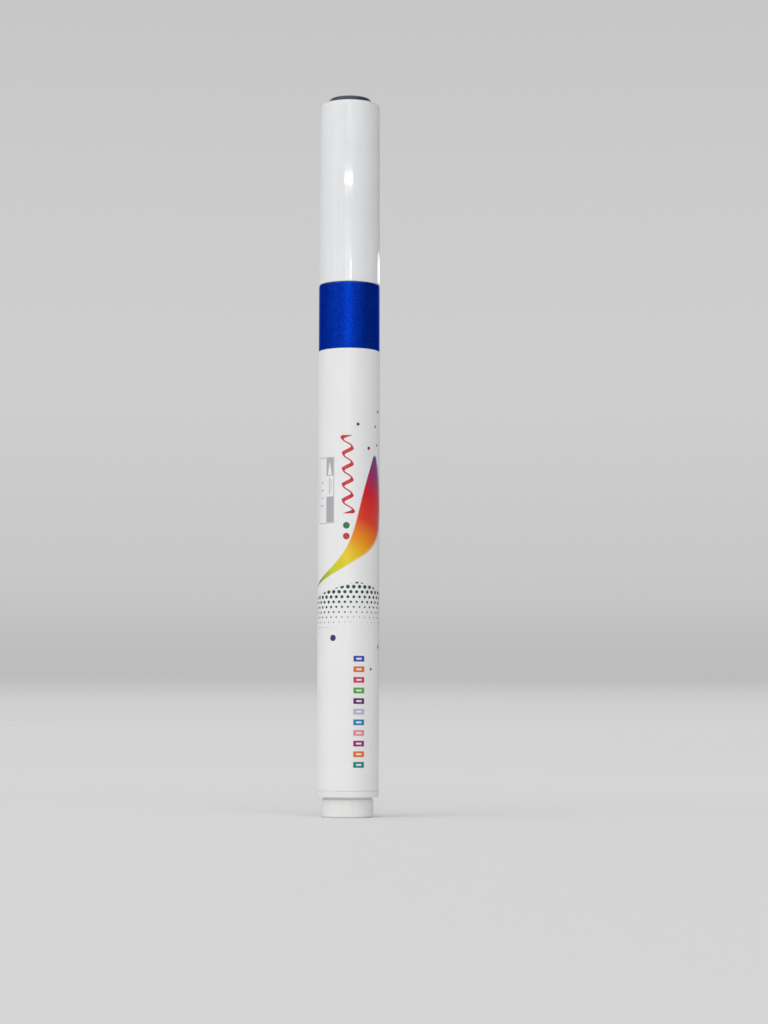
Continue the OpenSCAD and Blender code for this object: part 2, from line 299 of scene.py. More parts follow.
class Effects:
    """The shader effects that more than one finish uses, each built once as a node group."""

    def __init__(self) -> None:
        """Build every group."""
        marks = {"Vector": None, "Smudge": 6.0, "Cover": 0.5}
        place = {"Arc": 0.0, "Height": 0.0, "CentreArc": 0.0, "CentreHeight": 0.0}
        self.unroll = make_group("unroll", {"Vector": None, "Radius": 6.0}, self._unroll)
        self.grain = make_group("moulded_grain", {"Vector": None, "Size": 0.3}, self._grain)
        self.handling = make_group("handling_marks", marks, self._handling)
        self.rim = make_group("rim_wear", {"Vector": None, "Rim": 0.0, "Reach": 0.6}, self._rim)
        self.flakes = make_group("metal_flakes", {"Vector": None, "Size": 0.06}, self._flakes)
        self.dust = make_group("settled_dust", {"Vector": None, "Amount": 0.3}, self._dust)
        self.fibre = make_group("fibre", {"Vector": None, "Size": 0.1, "Length": 12.0}, self._fibre)
        half = {"HalfWidth": 1.0, "HalfHeight": 1.0}
        self.block = make_group("print_block", {**place, **half}, self._block)
        self.dot = make_group("print_dot", {**place, "Radius": 0.5}, self._dot)

    @staticmethod
    def _unroll(g: Graph, given: dict) -> dict:
        """Unroll a cylinder: arc length from the front and height, both in millimetres.

        Args:
            g: The group's graph.
            given: Its inputs by name.

        Returns:
            Its outputs by name.
        """
        xyz = g.add("ShaderNodeSeparateXYZ", {0: given["Vector"]})
        angle = g.math("ARCTAN2", xyz["X"], xyz["Y"] * -1.0)
        return {"Arc": angle * given["Radius"], "Height": xyz["Z"] / MM}

    @staticmethod
    def _grain(g: Graph, given: dict) -> dict:
        """Fine skin of a moulded surface, and slow changes of tone along the mould's flow.

        Args:
            g: The group's graph.
            given: Its inputs by name.

        Returns:
            Its outputs by name.
        """
        fine = g.noise(given["Vector"], given["Size"], detail=4.0, rough=0.6)
        slow = g.noise(given["Vector"], 9.0, detail=2.0)
        flow = g.noise(g.stretched(given["Vector"], 1.0, 0.12), 1.6, detail=2.0)
        return {"Height": g.blend(0.25, fine, flow), "Tone": g.blend(0.4, slow, flow)}

    @staticmethod
    def _handling(g: Graph, given: dict) -> dict:
        """Finger smudges, and hairline scratches from a pencil case.

        Args:
            g: The group's graph.
            given: Its inputs by name.

        Returns:
            Its outputs by name.
        """
        place = given["Vector"]
        lump = g.noise(place, given["Smudge"], detail=2.0)
        ridge = g.noise(g.stretched(place, 1.0, 3.2), 0.7, detail=1.0)
        bare = 1.0 - given["Cover"]
        patch = g.smooth(lump, bare, bare + 0.22)
        hair = g.smooth(g.noise(g.stretched(place, 1.0, 0.12), 0.09, detail=1.0), 0.755, 0.78)
        nick = g.smooth(g.noise(g.stretched(place, 0.5, 3.0), 0.5, detail=1.0), 0.775, 0.795)
        some = g.smooth(g.noise(place, 14.0), 0.45, 0.62)
        return {
            "Smudges": patch * g.blend(0.6, 1.0, ridge),
            "Scratches": g.math("MAXIMUM", hair, nick) * some,
        }

    @staticmethod
    def _rim(g: Graph, given: dict) -> dict:
        """Rubbed patches along a rim at one height.

        Args:
            g: The group's graph.
            given: Its inputs by name.

        Returns:
            Its outputs by name.
        """
        height = g.add("ShaderNodeSeparateXYZ", {0: given["Vector"]})["Z"] / MM
        near = 1.0 - g.smooth(abs(height - given["Rim"]), 0.0, given["Reach"])
        patchy = g.noise(given["Vector"], 1.4, detail=4.0, rough=0.65)
        return {"Wear": g.smooth(near * patchy, 0.36, 0.5)}

    @staticmethod
    def _flakes(g: Graph, given: dict) -> dict:
        """Tiny metal flakes, each with its own brightness and tilt.

        Args:
            g: The group's graph.
            given: Its inputs by name.

        Returns:
            Its outputs by name.
        """
        inputs = {"Vector": given["Vector"], "Scale": 1.0 / MM / given["Size"]}
        cells = g.add("ShaderNodeTexVoronoi", inputs)
        parts = g.add("ShaderNodeSeparateColor", {0: cells["Color"]})
        return {"Glint": parts["Red"], "Tilt": cells["Distance"] * parts["Green"]}

    @staticmethod
    def _dust(g: Graph, given: dict) -> dict:
        """Sparse pale specks that have settled or stuck.

        Args:
            g: The group's graph.
            given: Its inputs by name.

        Returns:
            Its outputs by name.
        """
        spacing_mm = 0.9
        inputs = {"Vector": given["Vector"], "Scale": 1.0 / MM / spacing_mm}
        cells = g.add("ShaderNodeTexVoronoi", inputs)
        speck = 1.0 - g.smooth(cells["Distance"], 0.03, 0.07)
        chosen = g.add("ShaderNodeSeparateColor", {0: cells["Color"]})["Red"]
        return {"Specks": speck * g.math("LESS_THAN", chosen, given["Amount"])}

    @staticmethod
    def _fibre(g: Graph, given: dict) -> dict:
        """Strands that run along the pen's axis.

        Args:
            g: The group's graph.
            given: Its inputs by name.

        Returns:
            Its outputs by name.
        """
        xyz = g.add("ShaderNodeSeparateXYZ", {0: given["Vector"]})
        parts = {"X": xyz["X"], "Y": xyz["Y"], "Z": xyz["Z"] / given["Length"]}
        thin = g.add("ShaderNodeCombineXYZ", parts)["Vector"]
        return {"Strands": g.noise(thin, given["Size"], detail=2.0)}

    @staticmethod
    def _block(g: Graph, given: dict) -> dict:
        """A printed block with slightly rounded corners.

        Args:
            g: The group's graph.
            given: Its inputs by name.

        Returns:
            Its outputs by name.
        """
        past_side = abs(given["Arc"] - given["CentreArc"]) - given["HalfWidth"]
        past_end = abs(given["Height"] - given["CentreHeight"]) - given["HalfHeight"]
        return {"Ink": g.inside(g.math("SMOOTH_MAX", past_side, past_end, 0.12))}

    @staticmethod
    def _dot(g: Graph, given: dict) -> dict:
        """A printed round dot.

        Args:
            g: The group's graph.
            given: Its inputs by name.

        Returns:
            Its outputs by name.
        """
        up = given["Height"] - given["CentreHeight"]
        side = given["Arc"] - given["CentreArc"]
        away = g.math("SQRT", up**2.0 + side**2.0)
        return {"Ink": g.inside(away - given["Radius"], 0.04)}


# Finishes
# --------

TONE_RANGE = (0.35, 0.7)
DUST_COLOUR = (0.62, 0.60, 0.56)
INK_GLINT = (0.20, 0.33, 0.75)


def dimmed(colour: Colour, share: float) -> Colour:
    """A darker shade: a share of each channel."""
    return tuple(channel * share for channel in colour)


@dataclass(frozen=True)
class Finish:
    """A surface finish. Each kind adds its own nodes."""

    name: str
    colour: Colour
    roughness: float

    def build(self, effects: Effects) -> bpy.types.Material:
        """Make the material, or find it if another piece has it.

        Args:
            effects: The shared node groups.

        Returns:
            The finished material.
        """
        material = bpy.data.materials.get(self.name)
        if material is None:
            material = bpy.data.materials.new(self.name)
            material.use_nodes = True
            material.diffuse_color = (*self.colour, 1.0)
            graph = Graph(material.node_tree)
            shader = material.node_tree.nodes["Principled BSDF"]
            graph.fill(shader, {"Base Color": self.colour, "Roughness": self.roughness})
            place = graph.add("ShaderNodeTexCoord")["Object"]
            graph.fill(shader, self.dress(graph, place, effects))
        return material

    def dress(self, g: Graph, place: Signal, effects: Effects) -> dict:
        """Add this finish's own detail.

        Args:
            g: The material's graph.
            place: Object coordinates.
            effects: The shared node groups.

        Returns:
            What fills the shader's inputs, by name.
        """
        raise NotImplementedError


@dataclass(frozen=True)
class MouldedPlastic(Finish):
    """Injection-moulded plastic with grain, smudges, hairline scratches and rubbed rims."""

    worn: Colour
    grain_mm: float = 0.35
    grain_depth_mm: float = 0.004
    coat: float = 0.0
    rims_mm: tuple[float, ...] = ()
    translucent: float = 0.0
    smudge_mm: float = 5.0
    dust: float = 0.06
    rim_reach_mm: float = 0.45

    def dress(self, g: Graph, place: Signal, effects: Effects) -> dict:
        """Add the grain, marks and wear.

        Args:
            g: The material's graph.
            place: Object coordinates.
            effects: The shared node groups.

        Returns:
            What fills the shader's inputs, by name.
        """
        grain = g.group(effects.grain, Vector=place, Size=self.grain_mm)
        marks = g.group(effects.handling, Vector=place, Smudge=self.smudge_mm, Cover=0.45)
        specks = g.group(effects.dust, Vector=place, Amount=self.dust)["Specks"]
        scratches = marks["Scratches"]
        colour = g.mix(g.smooth(grain["Tone"], *TONE_RANGE), dimmed(self.colour, 0.955), self.colour)
        colour = g.mix(scratches * 0.25, colour, self.worn)
        spread = 0.3 * self.roughness + 0.005
        rough = grain["Tone"] * spread + (marks["Smudges"] * (1.5 * spread) + self.roughness)
        for rim in self.rims_mm:
            wear = g.group(effects.rim, Vector=place, Rim=rim, Reach=self.rim_reach_mm)["Wear"]
            colour = g.mix(wear * 0.6, colour, self.worn)
            rough = wear * 0.15 + rough
        return {
            "Base Color": g.mix(specks * 0.25, colour, DUST_COLOUR),
            "Roughness": rough,
            "Coat Weight": self.coat,
            "Coat Roughness": 0.03,
            "Subsurface Weight": self.translucent,
            "Subsurface Radius": (1.0, 0.95, 0.9),
            "Subsurface Scale": 0.6 * MM,
            "Normal": g.bump(grain["Height"] - scratches * 0.8, 0.35, self.grain_depth_mm),
        }


@dataclass(frozen=True)
class MetallicLacquer(Finish):
    """Deep metallic lacquer: fine flakes under a satin coat, rubbed along both rims."""

    glint: Colour
    worn: Colour
    rims_mm: tuple[float, ...]
    edge_tint: Colour = (0.40, 0.45, 0.85)
    fine_mm: float = 0.07
    coarse_mm: float = 0.19
    cloud_mm: float = 2.6

    def dress(self, g: Graph, place: Signal, effects: Effects) -> dict:
        """Add the flakes, marks and wear.

        Args:
            g: The material's graph.
            place: Object coordinates.
            effects: The shared node groups.

        Returns:
            What fills the shader's inputs, by name.
        """
        fine = g.group(effects.flakes, Vector=place, Size=self.fine_mm)
        coarse = g.group(effects.flakes, Vector=place, Size=self.coarse_mm)
        marks = g.group(effects.handling, Vector=place, Smudge=4.0, Cover=0.5)
        bright = g.smooth(fine["Glint"], 0.35, 1.0) * 0.55 + g.smooth(coarse["Glint"], 0.8, 1.0) * 0.5
        cloud = (g.noise(place, self.cloud_mm) - 0.5) * 0.3
        colour = g.mix(g.math("ADD", bright, cloud, clamp=True), self.colour, self.glint)
        for rim in self.rims_mm:
            wear = g.group(effects.rim, Vector=place, Rim=rim, Reach=0.35)["Wear"]
            colour = g.mix(wear * 0.8, colour, self.worn)
        return {
            "Base Color": g.mix(marks["Scratches"] * 0.3, colour, self.glint),
            "Roughness": marks["Smudges"] * 0.08 + (fine["Glint"] * 0.12 + self.roughness),
            "Metallic": 1.0,
            "Specular Tint": self.edge_tint,
            "Normal": g.bump(fine["Tilt"] + coarse["Tilt"] * 0.6, 0.5, 0.006),
        }


@dataclass(frozen=True)
class Rubber(Finish):
    """Dull rubber with a fine pebbled skin and a pale bloom."""

    grain_mm: float = 0.12
    bloom: float = 0.05

    def dress(self, g: Graph, place: Signal, effects: Effects) -> dict:
        """Add the skin and bloom.

        Args:
            g: The material's graph.
            place: Object coordinates.
            effects: The shared node groups.

        Returns:
            What fills the shader's inputs, by name.
        """
        grain = g.group(effects.grain, Vector=place, Size=self.grain_mm)
        pale = tuple(min(1.0, channel + self.bloom) for channel in self.colour)
        return {
            "Base Color": g.mix(g.smooth(grain["Tone"], 0.45, 0.75), self.colour, pale),
            "Roughness": g.blend(grain["Height"], self.roughness - 0.12, self.roughness + 0.1),
            "Normal": g.bump(grain["Height"], 0.5, 0.01),
        }


@dataclass(frozen=True)
class Steel(Finish):
    """Bare steel with drawing or polishing lines and a faint stain."""

    lines_mm: float = 0.05
    line_depth_mm: float = 0.001
    stain_mm: float = 1.2

    def dress(self, g: Graph, place: Signal, effects: Effects) -> dict:
        """Add the lines and the stain.

        Args:
            g: The material's graph.
            place: Object coordinates.
            effects: The shared node groups.

        Returns:
            What fills the shader's inputs, by name.
        """
        lines = g.noise(g.stretched(place, 0.15, 1.0), self.lines_mm, detail=2.0)
        stain = g.smooth(g.noise(place, self.stain_mm), 0.5, 0.75)
        return {
            "Base Color": g.mix(stain, self.colour, dimmed(self.colour, 0.78)),
            "Roughness": g.blend(lines, self.roughness * 0.7, self.roughness * 1.5),
            "Metallic": 1.0,
            "Normal": g.bump(lines, 0.3, self.line_depth_mm),
        }


@dataclass(frozen=True)
class SoakedFibre(Finish):
    """Fibres along the axis, darkened and made shiny by ink."""

    soaked: Colour
    strand_mm: float = 0.09
    wet: float = 0.3
    strand_length: float = 14.0
    pool_mm: float = 1.8

    def dress(self, g: Graph, place: Signal, effects: Effects) -> dict:
        """Add the strands and the ink between them.

        Args:
            g: The material's graph.
            place: Object coordinates.
            effects: The shared node groups.

        Returns:
            What fills the shader's inputs, by name.
        """
        size = {"Size": self.strand_mm, "Length": self.strand_length}
        strands = g.group(effects.fibre, Vector=place, **size)["Strands"]
        glints = g.group(effects.flakes, Vector=place, Size=0.05)["Glint"]
        pools = g.noise(place, self.pool_mm)
        colour = g.mix(g.smooth(strands, 0.35, 0.65), self.soaked, self.colour)
        colour = g.mix(g.smooth(pools, 0.5, 0.7), colour, self.soaked)
        return {
            "Base Color": g.mix(g.smooth(glints, 0.93, 1.0) * self.wet, colour, INK_GLINT),
            "Roughness": g.blend(pools, self.roughness + 0.15, self.roughness - 0.1),
            "Coat Weight": self.wet,
            "Coat Roughness": 0.18,
            "Normal": g.bump(strands, 0.6, 0.03),
        }


@dataclass(frozen=True)
class PaperSweep(Finish):
    """Pale matt sweep that the pen stands on."""

    tooth_mm: float = 0.5

    def dress(self, g: Graph, place: Signal, effects: Effects) -> dict:
        """Add the paper's tooth.

        Args:
            g: The material's graph.
            place: Object coordinates.
            effects: The shared node groups.

        Returns:
            What fills the shader's inputs, by name.
        """
        tooth = g.noise(place, self.tooth_mm)
        colour = g.mix(tooth, dimmed(self.colour, 0.985), self.colour)
        return {"Base Color": colour, "Normal": g.bump(tooth, 0.15, 0.02)}


@dataclass(frozen=True)
class Dot:
    """A printed dot: its centre, radius and colour."""

    arc: float
    height: float
    radius: float
    colour: Colour


@dataclass(frozen=True)
class Block:
    """A printed block: its centre and half its width and height."""

    arc: float
    height: float
    half_width: float
    half_height: float


class BarrelPrint:
    """An abstract print in layers: a dry-brush ribbon in spectrum colours, a fading dot screen,
    a red pen wave, a column of coloured bars, a brush symbol and loose dots."""

    INK_GREY = (0.40, 0.40, 0.43)
    PEN_RED = (0.55, 0.006, 0.02)
    NAVY = (0.035, 0.02, 0.14)
    SLATE = (0.05, 0.12, 0.45)
    SCREEN_GREEN = (0.006, 0.055, 0.035)
    SPECTRUM = (
        (0.00, (0.13, 0.03, 0.26)), (0.16, (0.28, 0.01, 0.13)), (0.32, (0.62, 0.0, 0.012)),
        (0.52, (0.72, 0.035, 0.005)), (0.66, (0.82, 0.25, 0.0)), (0.80, (0.80, 0.60, 0.0)),
        (0.91, (0.55, 0.60, 0.01)), (1.00, (0.04, 0.20, 0.04)),
    )
    BARS = (
        (0.035, 0.05, 0.38), (0.75, 0.13, 0.02), (0.60, 0.02, 0.16), (0.08, 0.36, 0.06),
        (0.10, 0.008, 0.12), (0.48, 0.44, 0.62), (0.0, 0.20, 0.46), (0.75, 0.25, 0.30),
        (0.32, 0.0, 0.16), (0.75, 0.14, 0.02), (0.0, 0.20, 0.16),
    )
    BAR = Block(2.25, 0.0, 1.12, 0.56)
    BAR_SLOT = Block(2.25, 0.0, 0.55, 0.17)
    DOTS = (
        Dot(1.9, 76.2, 0.30, (0.03, 0.03, 0.06)), Dot(4.3, 71.6, 0.34, (0.25, 0.01, 0.03)),
        Dot(6.2, 76.0, 0.26, (0.45, 0.03, 0.03)), Dot(7.3, 79.0, 0.32, SLATE),
        Dot(6.9, 72.4, 0.24, (0.05, 0.05, 0.06)), Dot(-3.0, 34.6, 0.62, NAVY),
        Dot(5.0, 28.6, 0.28, (0.22, 0.16, 0.30)), Dot(7.9, 33.0, 0.42, (0.55, 0.04, 0.03)),
        Dot(-9.6, 38.5, 0.40, (0.75, 0.35, 0.0)), Dot(-12.4, 50.0, 0.30, SLATE),
        Dot(13.2, 66.0, 0.36, (0.08, 0.36, 0.06)), Dot(-0.35, 56.4, 0.66, (0.0, 0.14, 0.03)),
        Dot(-0.35, 54.3, 0.66, (0.48, 0.01, 0.015)),
    )
    SYMBOL = (
        Block(-5.05, 69.75, 2.15, 0.07), Block(-5.05, 56.95, 2.15, 0.07),
        Block(-7.15, 63.35, 0.07, 6.45), Block(-2.95, 63.35, 0.07, 6.45),
        Block(-3.9, 67.9, 0.85, 1.75), Block(-3.9, 59.6, 0.85, 2.5),
        Block(-3.9, 64.2, 0.10, 1.6), Block(-3.45, 64.2, 0.05, 1.2),
        Block(-6.0, 64.9, 0.30, 0.11), Block(-6.0, 63.4, 0.42, 0.11),
        Block(-6.0, 61.9, 0.30, 0.11), Block(-6.0, 60.4, 0.42, 0.11),
    )

    def __init__(
        self, g: Graph, effects: Effects, place: Signal, radius_mm: float, under: Signal
    ) -> None:
        """Unroll the tube for printing.

        Args:
            g: The material's graph.
            effects: The shared node groups.
            place: Object coordinates.
            radius_mm: The tube's radius.
            under: Its colour before the print.
        """
        flat = g.group(effects.unroll, Vector=place, Radius=radius_mm)
        self.g, self.effects = g, effects
        self.arc, self.height = flat["Arc"], flat["Height"]
        self.colour: Signal = under
        self.ink: Value = 0.0

    def lay(self, mask: Signal, colour: Signal | Colour) -> None:
        """Lay ink of a colour wherever the mask is 1."""
        self.colour = self.g.mix(mask, self.colour, colour)
        self.ink = self.g.math("MAXIMUM", self.ink, mask)

    def row(self, step: Signal, end: float) -> Signal:
        """Be 1 where a step lies between 0 and the row's end."""
        return self.g.math("GREATER_THAN", step, 0.0) * self.g.math("LESS_THAN", step, end)

    def block(self, shape: Block, height: Signal) -> Signal:
        """Mask a block.

        Args:
            shape: The block.
            height: Height on the tube, or within a row that repeats.

        Returns:
            A signal that is 1 where there is ink.
        """
        centre = {"CentreArc": shape.arc, "CentreHeight": shape.height}
        half = {"HalfWidth": shape.half_width, "HalfHeight": shape.half_height}
        return self.g.group(self.effects.block, Arc=self.arc, Height=height, **centre, **half)["Ink"]

    def dot(self, shape: Dot) -> Signal:
        """Mask of a dot."""
        size = {"CentreArc": shape.arc, "CentreHeight": shape.height, "Radius": shape.radius}
        return self.g.group(self.effects.dot, Arc=self.arc, Height=self.height, **size)["Ink"]

    def print_all(self, bare: Colour) -> None:
        """Lay every layer in order.

        Args:
            bare: The tube's own colour, which the symbol's wedge shows.
        """
        self.ribbon()
        self.dot_screen()
        self.red_wave()
        self.colour_bars()
        for shape in self.SYMBOL:
            self.lay(self.block(shape, self.height), self.INK_GREY)
        for shape in self.DOTS:
            self.lay(self.dot(shape), shape.colour)
        self.colour = self.g.mix(self.symbol_tip(), self.colour, bare)

    def ribbon(self) -> None:
        """A dry-brush ribbon that sweeps down and round the tube through the spectrum."""
        g = self.g
        top, drop, start, sweep, bend = 70.2, 25.5, 6.1, 14.6, 4.2
        half_tip, half_swell = 0.45, 3.2
        along = (top - self.height) / drop
        kept = g.math("MINIMUM", g.math("MAXIMUM", along, 0.0), 1.0)
        centre = start - kept**bend * sweep
        half = g.math("SINE", kept * math.pi) * half_swell + half_tip
        across = (self.arc - centre) / half
        lines = g.add("ShaderNodeCombineXYZ", {"X": across * 9.0, "Y": along * 1.2})["Vector"]
        streaks = g.noise(lines, 1.0 / MM)
        dry = g.smooth(across, -0.2, 0.95) * 0.50 + g.smooth(along, 0.55, 1.0) * 0.26
        cover = g.smooth(streaks - dry, -0.05, 0.03)
        sides = 1.0 - g.smooth(abs(across), 0.96, 1.04)
        ends = g.smooth(along, -0.01, 0.01) * (1.0 - g.smooth(along, 0.99, 1.01))
        self.lay(cover * sides * ends, g.ramp(along + across * -0.05, self.SPECTRUM))

    def dot_screen(self) -> None:
        """A staggered dot screen below the ribbon, whose dots shrink downwards and backwards."""
        g = self.g
        pitch, row_share, top, depth = 1.15, 0.85, 45.5, 9.0
        largest, smallest = 0.34, 0.048
        row = self.height / (pitch * row_share)
        shift = g.math("FLOORED_MODULO", g.math("FLOOR", row), 2.0) * 0.5
        u = g.math("FRACT", self.arc / pitch + shift) - 0.5
        v = (g.math("FRACT", row) - 0.5) * row_share
        away = g.math("SQRT", u**2.0 + v**2.0)
        level = (top - abs(self.arc - 2.0) * 0.28 - self.height) / depth
        front = 1.0 - g.smooth(abs(self.arc - 1.0), 8.0, 15.0)
        size = (1.0 - level) * front * largest
        shown = g.smooth(level, -0.01, 0.01) * g.math("GREATER_THAN", size, smallest)
        self.lay(g.inside(away - size) * shown, self.SCREEN_GREEN)

    def red_wave(self) -> None:
        """A wave drawn up the tube with a broad nib, thick on one slope and thin on the other."""
        g = self.g
        low, pitch, turns, middle = 58.7, 3.07, 5.0, -0.12
        swing, wider, thin, thick = 0.80, 0.25, 0.14, 0.42
        step = (self.height - low) / pitch
        phase = step * math.tau
        near_end = g.smooth(abs(step / (turns / 2.0) - 1.0), 0.72, 0.95)
        reach = near_end * wider + swing
        line = g.math("SINE", phase) * reach + middle
        lean = g.math("COSINE", phase)
        slope = g.math("SQRT", (lean * reach * (math.tau / pitch)) ** 2.0 + 1.0)
        nib = g.smooth(lean, -0.6, 0.9) * (thick - thin) + thin
        stroke = g.inside(abs(self.arc - line) / slope - nib)
        self.lay(stroke * self.row(step, turns), self.PEN_RED)

    def colour_bars(self) -> None:
        """A column of slotted bars, each in its own colour."""
        g = self.g
        top, pitch, count = 31.6, 2.04, len(self.BARS)
        step = (top - self.height) / pitch
        share = (g.math("FLOOR", step) + 0.5) / float(count)
        within = (g.math("FRACT", step) - 0.5) * pitch
        bar = self.block(self.BAR, within) - self.block(self.BAR_SLOT, within)
        mask = g.math("MULTIPLY", bar, self.row(share, 1.0), clamp=True)
        stops = [(index / count, colour) for index, colour in enumerate(self.BARS)]
        self.lay(mask, g.ramp(share, stops, "CONSTANT"))

    def symbol_tip(self) -> Signal:
        """Mask the wedge in the brush symbol: a brush point.

        Returns:
            A signal that is 1 in the wedge.
        """
        centre, base, point, half = -3.9, 66.3, 69.2, 0.5
        down = (point - self.height) / (point - base)
        room = down * half - abs(self.arc - centre)
        return self.g.smooth(room, -0.03, 0.03) * self.g.math("LESS_THAN", down, 1.0)


@dataclass(frozen=True)
class PrintedTube(Finish):
    """Satin white tube with its print, a faint seam in the film and rubbed ends."""

    worn: Colour
    radius_mm: float
    low_mm: float
    high_mm: float
    grain_mm: float = 0.5
    smudge_mm: float = 7.0

    def dress(self, g: Graph, place: Signal, effects: Effects) -> dict:
        """Lay the print over the tube's skin.

        Args:
            g: The material's graph.
            place: Object coordinates.
            effects: The shared node groups.

        Returns:
            What fills the shader's inputs, by name.
        """
        skin = g.group(effects.grain, Vector=place, Size=self.grain_mm)
        marks = g.group(effects.handling, Vector=place, Smudge=self.smudge_mm, Cover=0.5)
        bare = g.mix(g.smooth(skin["Tone"], *TONE_RANGE), dimmed(self.colour, 0.97), self.colour)
        sheet = BarrelPrint(g, effects, place, self.radius_mm, bare)
        sheet.print_all(self.colour)
        lap = 1.0 - g.smooth(math.pi * self.radius_mm - abs(sheet.arc), 0.06, 0.16)
        colour = g.mix(lap * 0.25, sheet.colour, self.worn)
        for rim in (self.low_mm, self.high_mm):
            wear = g.group(effects.rim, Vector=place, Rim=rim, Reach=0.4)["Wear"]
            colour = g.mix(wear * 0.5, colour, self.worn)
        raised = g.math("MAXIMUM", sheet.ink, lap) * 0.5
        return {
            "Base Color": g.mix(marks["Scratches"] * 0.22, colour, self.worn),
            "Roughness": marks["Smudges"] * 0.08 + self.roughness - sheet.ink * 0.08,
            "Coat Weight": 0.12,
            "Coat Roughness": 0.2,
            "Normal": g.bump(skin["Height"] * 0.5 + raised, 0.3, 0.008),
        }


# Modelling helpers
# -----------------

UP_FACING = 0.9
MERGE_DISTANCE = 0.001 * MM
WALL_ENDS = (0.3, 1.0)


def deselect_all() -> None:
    """Leave object mode with nothing selected."""
    if bpy.context.object and bpy.context.object.mode != "OBJECT":
        bpy.ops.object.mode_set(mode="OBJECT")
    bpy.ops.object.select_all(action="DESELECT")


def start_editing(piece: bpy.types.Object, element: str = "FACE") -> None:
    """Open a piece in edit mode with nothing selected.

    Args:
        piece: The mesh object.
        element: What is picked there: VERT, EDGE or FACE.
    """
    deselect_all()
    bpy.context.view_layer.objects.active = piece
    piece.select_set(True)
    bpy.ops.object.mode_set(mode="EDIT")
    bpy.ops.mesh.select_mode(type=element)
    bpy.ops.mesh.select_all(action="DESELECT")


def select_top(piece: bpy.types.Object) -> None:
    """Select the faces that look up, in edit mode.

    Args:
        piece: The mesh object.
    """
    mesh = bmesh.from_edit_mesh(piece.data)
    for face in mesh.faces:
        face.select_set(face.normal.z > UP_FACING)
    bmesh.update_edit_mesh(piece.data)


def finish_piece(piece: bpy.types.Object, smooth_angle: float) -> bpy.types.Object:
    """Close edit mode, put the object at the origin and smooth its shading.

    Args:
        piece: The mesh object.
        smooth_angle: Edges sharper than this stay sharp, in degrees.

    Returns:
        The same object.
    """
    deselect_all()
    bpy.context.view_layer.objects.active = piece
    piece.select_set(True)
    bpy.ops.object.transform_apply(location=True, rotation=True, scale=True)
    bpy.ops.object.shade_smooth_by_angle(angle=math.radians(smooth_angle))
    deselect_all()
    return piece


def round_edge(
    radius_at: float, height_at: float, edge: float, start_deg: float, end_deg: float, steps: int = 6
) -> list[Point]:
    """Points of an arc in an outline.

    Args:
        radius_at: The arc's centre, away from the axis, in millimetres.
        height_at: The arc's centre, along the axis, in millimetres.
        edge: The arc's own radius, in millimetres.
        start_deg: Where it starts: 0 points outwards and 90 up.
        end_deg: Where it ends.
        steps: Straight pieces in it.

    Returns:
        The points, ends included.
    """
    points = []
    for step in range(steps + 1):
        turn = math.radians(start_deg + (end_deg - start_deg) * step / steps)
        points.append((radius_at + edge * math.cos(turn), height_at + edge * math.sin(turn)))
    return points


def long_wall(low: Point, high: Point) -> list[Point]:
    """Points inside a long straight wall, close to both ends, that keep its shading straight.

    Args:
        low: The wall's lower end.
        high: Its upper end.

    Returns:
        The points, ends left out.
    """
    length = high[1] - low[1]
    near, far = (end / length for end in WALL_ENDS)
    shares = (near, far, 0.5, 1.0 - far, 1.0 - near)
    return [(low[0] + (high[0] - low[0]) * share, low[1] + length * share) for share in shares]


def turn_outline(name: str, outline: Sequence[Point]) -> bpy.types.Object:
    """Spin a closed outline round the pen's axis.

    Args:
        name: The piece's name.
        outline: Radius and height of each point, in millimetres.

    Returns:
        The turned piece, closed and smooth.
    """
    deselect_all()
    bpy.ops.mesh.primitive_circle_add(vertices=len(outline), fill_type="NOTHING")
    piece = bpy.context.object
    piece.name = name
    for vertex, (radius, height) in zip(piece.data.vertices, outline):
        vertex.co = (radius * MM, 0.0, height * MM)
    start_editing(piece, "VERT")
    bpy.ops.mesh.select_all(action="SELECT")
    bpy.ops.mesh.spin(steps=TURNED_SIDES, angle=math.tau, center=(0, 0, 0), axis=(0, 0, 1))
    bpy.ops.mesh.select_all(action="SELECT")
    bpy.ops.mesh.remove_doubles(threshold=MERGE_DISTANCE)
    bpy.ops.mesh.delete_loose(use_verts=True, use_edges=True, use_faces=False)
    bpy.ops.mesh.select_all(action="SELECT")
    bpy.ops.mesh.normals_make_consistent(inside=False)
    return finish_piece(piece, smooth_angle=35.0)


# Sub-assemblies
# --------------


class SubAssembly:
    """A group of pieces on one body, which dresses CAD nodes and adds its own meshes."""

    body: Body

    def __init__(self, effects: Effects) -> None:
        """Keep the shared effects.

        Args:
            effects: The shared node groups.
        """
        self.effects = effects

    def coat_node(self, node: str, finish: Finish) -> None:
        """Give a CAD node its finish.

        Args:
            node: The node's name.
            finish: Its finish.
        """
        material = finish.build(self.effects)
        for slot in frame["nodes"][node].material_slots:
            slot.material = material
        LOG.info("%s: %s", node, finish.name)

    def add_piece(self, piece: bpy.types.Object, finish: Finish, slot: str, node: str) -> None:
        """Finish a new piece that stands for a CAD node, and give both the same finish.

        Args:
            piece: The mesh object.
            finish: Its finish.
            slot: The record's material slot; not used.
            node: The node that it stands for.
        """
        self.coat_node(node, finish)
        piece.data.materials.clear()
        piece.data.materials.append(finish.build(self.effects))
        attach(piece, self.body.value)
        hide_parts(node)
        LOG.info("%s: %s, %d faces", piece.name, finish.name, len(piece.data.polygons))

    def build(self) -> None:
        """Build and dress every piece."""
        raise NotImplementedError


WHITE_CAP = (0.80, 0.81, 0.82)
WHITE_TUBE = (0.82, 0.82, 0.815)
MOULDED_WHITE = (0.80, 0.80, 0.79)
WORN_WHITE = (0.60, 0.59, 0.57)
NATURAL_PLASTIC = MouldedPlastic(
    "natural_plastic", (0.74, 0.745, 0.73), 0.42, WORN_WHITE, translucent=0.3
)


